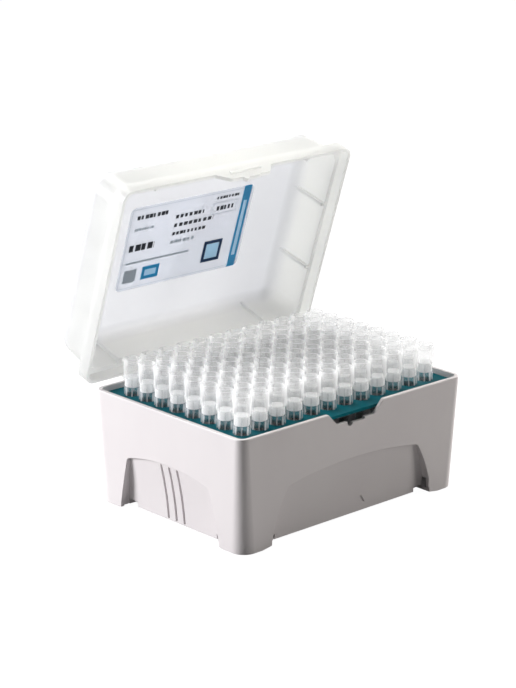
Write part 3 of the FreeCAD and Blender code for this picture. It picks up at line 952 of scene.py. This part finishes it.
@dataclass
class Softbox:
    """A square area lamp that looks at a point, its angles in degrees and its power in watts."""

    name: str
    azimuth: float
    elevation: float
    distance: float
    size: float
    power: float
    colour: Colour = (1.0, 1.0, 1.0)
    spread: float = 180.0
    aim: Vector | None = None

    def build(self, middle: Vector) -> None:
        """Hangs the lamp round its own aim, or round the middle of the scene.

        Args:
            middle: the middle of the scene.
        """
        away = towards(self.azimuth, self.elevation)
        data = bpy.data.lights.new(self.name, "AREA")
        data.size = self.size
        data.energy = self.power
        data.color = self.colour
        data.spread = math.radians(self.spread)
        lamp = bpy.data.objects.new(self.name, data)
        lamp.location = (middle if self.aim is None else self.aim) + away * self.distance
        lamp.rotation_euler = away.to_track_quat("Z", "Y").to_euler()
        bpy.context.scene.collection.objects.link(lamp)


@dataclass
class Studio:
    """Floor, world, lamps and camera."""

    azimuth: float = -43.11
    elevation: float = 17.03
    roll: float = 0.383
    distance: float = 951.37 * MM
    lens: float = 126.43
    aim: Vector = field(default_factory=lambda: Vector((-6.073, -6.383, 61.687)) * MM)
    nearest: float = 50 * MM
    ambient: float = 0.03
    floor_size: float = 8.0
    floor_gap: float = 0.02 * MM
    floor_tone: float = 0.42
    floor_glow: float = 1.4
    floor_share: float = 0.7
    lamps: tuple[Softbox, ...] = (
        Softbox("key_softbox", azimuth=-131.0, elevation=13.0, distance=1.2, size=0.5,
                power=20.2, colour=(1.0, 0.99, 1.0)),
        Softbox("front_softbox", azimuth=50.0, elevation=13.0, distance=1.2, size=0.5,
                power=5.4, colour=(1.0, 0.965, 0.92)),
        Softbox("side_softbox", azimuth=90.0, elevation=13.0, distance=1.2, size=0.5,
                power=12.2, colour=(1.0, 0.975, 0.95)),
        Softbox("lid_softbox", azimuth=180.0, elevation=64.0, distance=0.3, size=0.16,
                power=0.185, colour=(1.0, 0.98, 0.94), spread=60.0,
                aim=Vector((0.0, 25.0, 125.0)) * MM),
        Softbox("inner_softbox", azimuth=0.0, elevation=52.0, distance=0.35, size=0.08,
                power=0.010, colour=(1.0, 0.95, 0.85), spread=20.0,
                aim=Vector((0.0, 42.0, 54.0)) * MM),
    )

    def world(self) -> None:
        """Lights the scene softly, and shows white behind it."""
        graph = Graph(bpy.data.worlds.new("studio_world"))
        seen, glossy, through = (graph.node("LightPath", output=f"Is {kind} Ray")
                                 for kind in ("Camera", "Glossy", "Transmission"))
        white_colour = {"Color": (1.0, 1.0, 1.0)}
        soft = graph.node("Background", inputs={**white_colour, "Strength": self.ambient})
        white = graph.node("Background", inputs=white_colour)
        shown = seen.at_least(glossy.at_least(through))
        bpy.context.scene.world = graph.finish(graph.blended(shown, soft, white), "OutputWorld")

    def floor(self) -> None:
        """Lays a white floor that keeps a pale shadow."""
        bpy.ops.object.select_all(action="DESELECT")
        bpy.ops.mesh.primitive_plane_add(size=self.floor_size, location=(0.0, 0.0, -self.floor_gap))
        floor = bpy.context.active_object
        floor.name = "studio_floor"
        graph = Graph(bpy.data.materials.new("white_floor"))
        cloth = graph.node("BsdfDiffuse", inputs={"Color": (self.floor_tone,) * 3})
        white = graph.node("Emission", inputs={
            "Color": (1.0, 1.0, 1.0), "Strength": self.floor_glow})
        shown = graph.node("LightPath", output="Is Camera Ray")
        floor.data.materials.append(
            graph.finish(graph.blended(shown * self.floor_share, cloth, white)))

    def camera(self) -> None:
        """Sets the camera at the box's front left."""
        away = towards(self.azimuth, self.elevation)
        data = bpy.data.cameras.new("front_left")
        data.lens = self.lens
        data.clip_start = self.nearest
        camera = bpy.data.objects.new("front_left", data)
        turn_round = Matrix.Rotation(math.radians(self.roll), 3, "Z")
        camera.rotation_euler = (away.to_track_quat("Z", "Y").to_matrix() @ turn_round).to_euler()
        camera.location = self.aim + away * self.distance
        bpy.context.scene.collection.objects.link(camera)
        bpy.context.scene.camera = camera

    def build(self) -> None:
        """Builds the studio."""
        self.world()
        self.floor()
        for lamp in self.lamps:
            lamp.build(self.aim)
        self.camera()
        bpy.context.scene.view_settings.view_transform = "Standard"


def main() -> None:
    """Loads the frame and builds the box and its studio."""
    logging.basicConfig(level=logging.INFO, format="%(name)s: %(message)s")
    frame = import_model()
    nodes = frame["nodes"]
    closed = math.radians(frame["joints"][0]["range_deg"][0])
    Tub().build(nodes)
    TipField().build()
    Lid(open_angle=-closed).build(nodes)
    Studio().build()


if __name__ == "__main__":
    main()
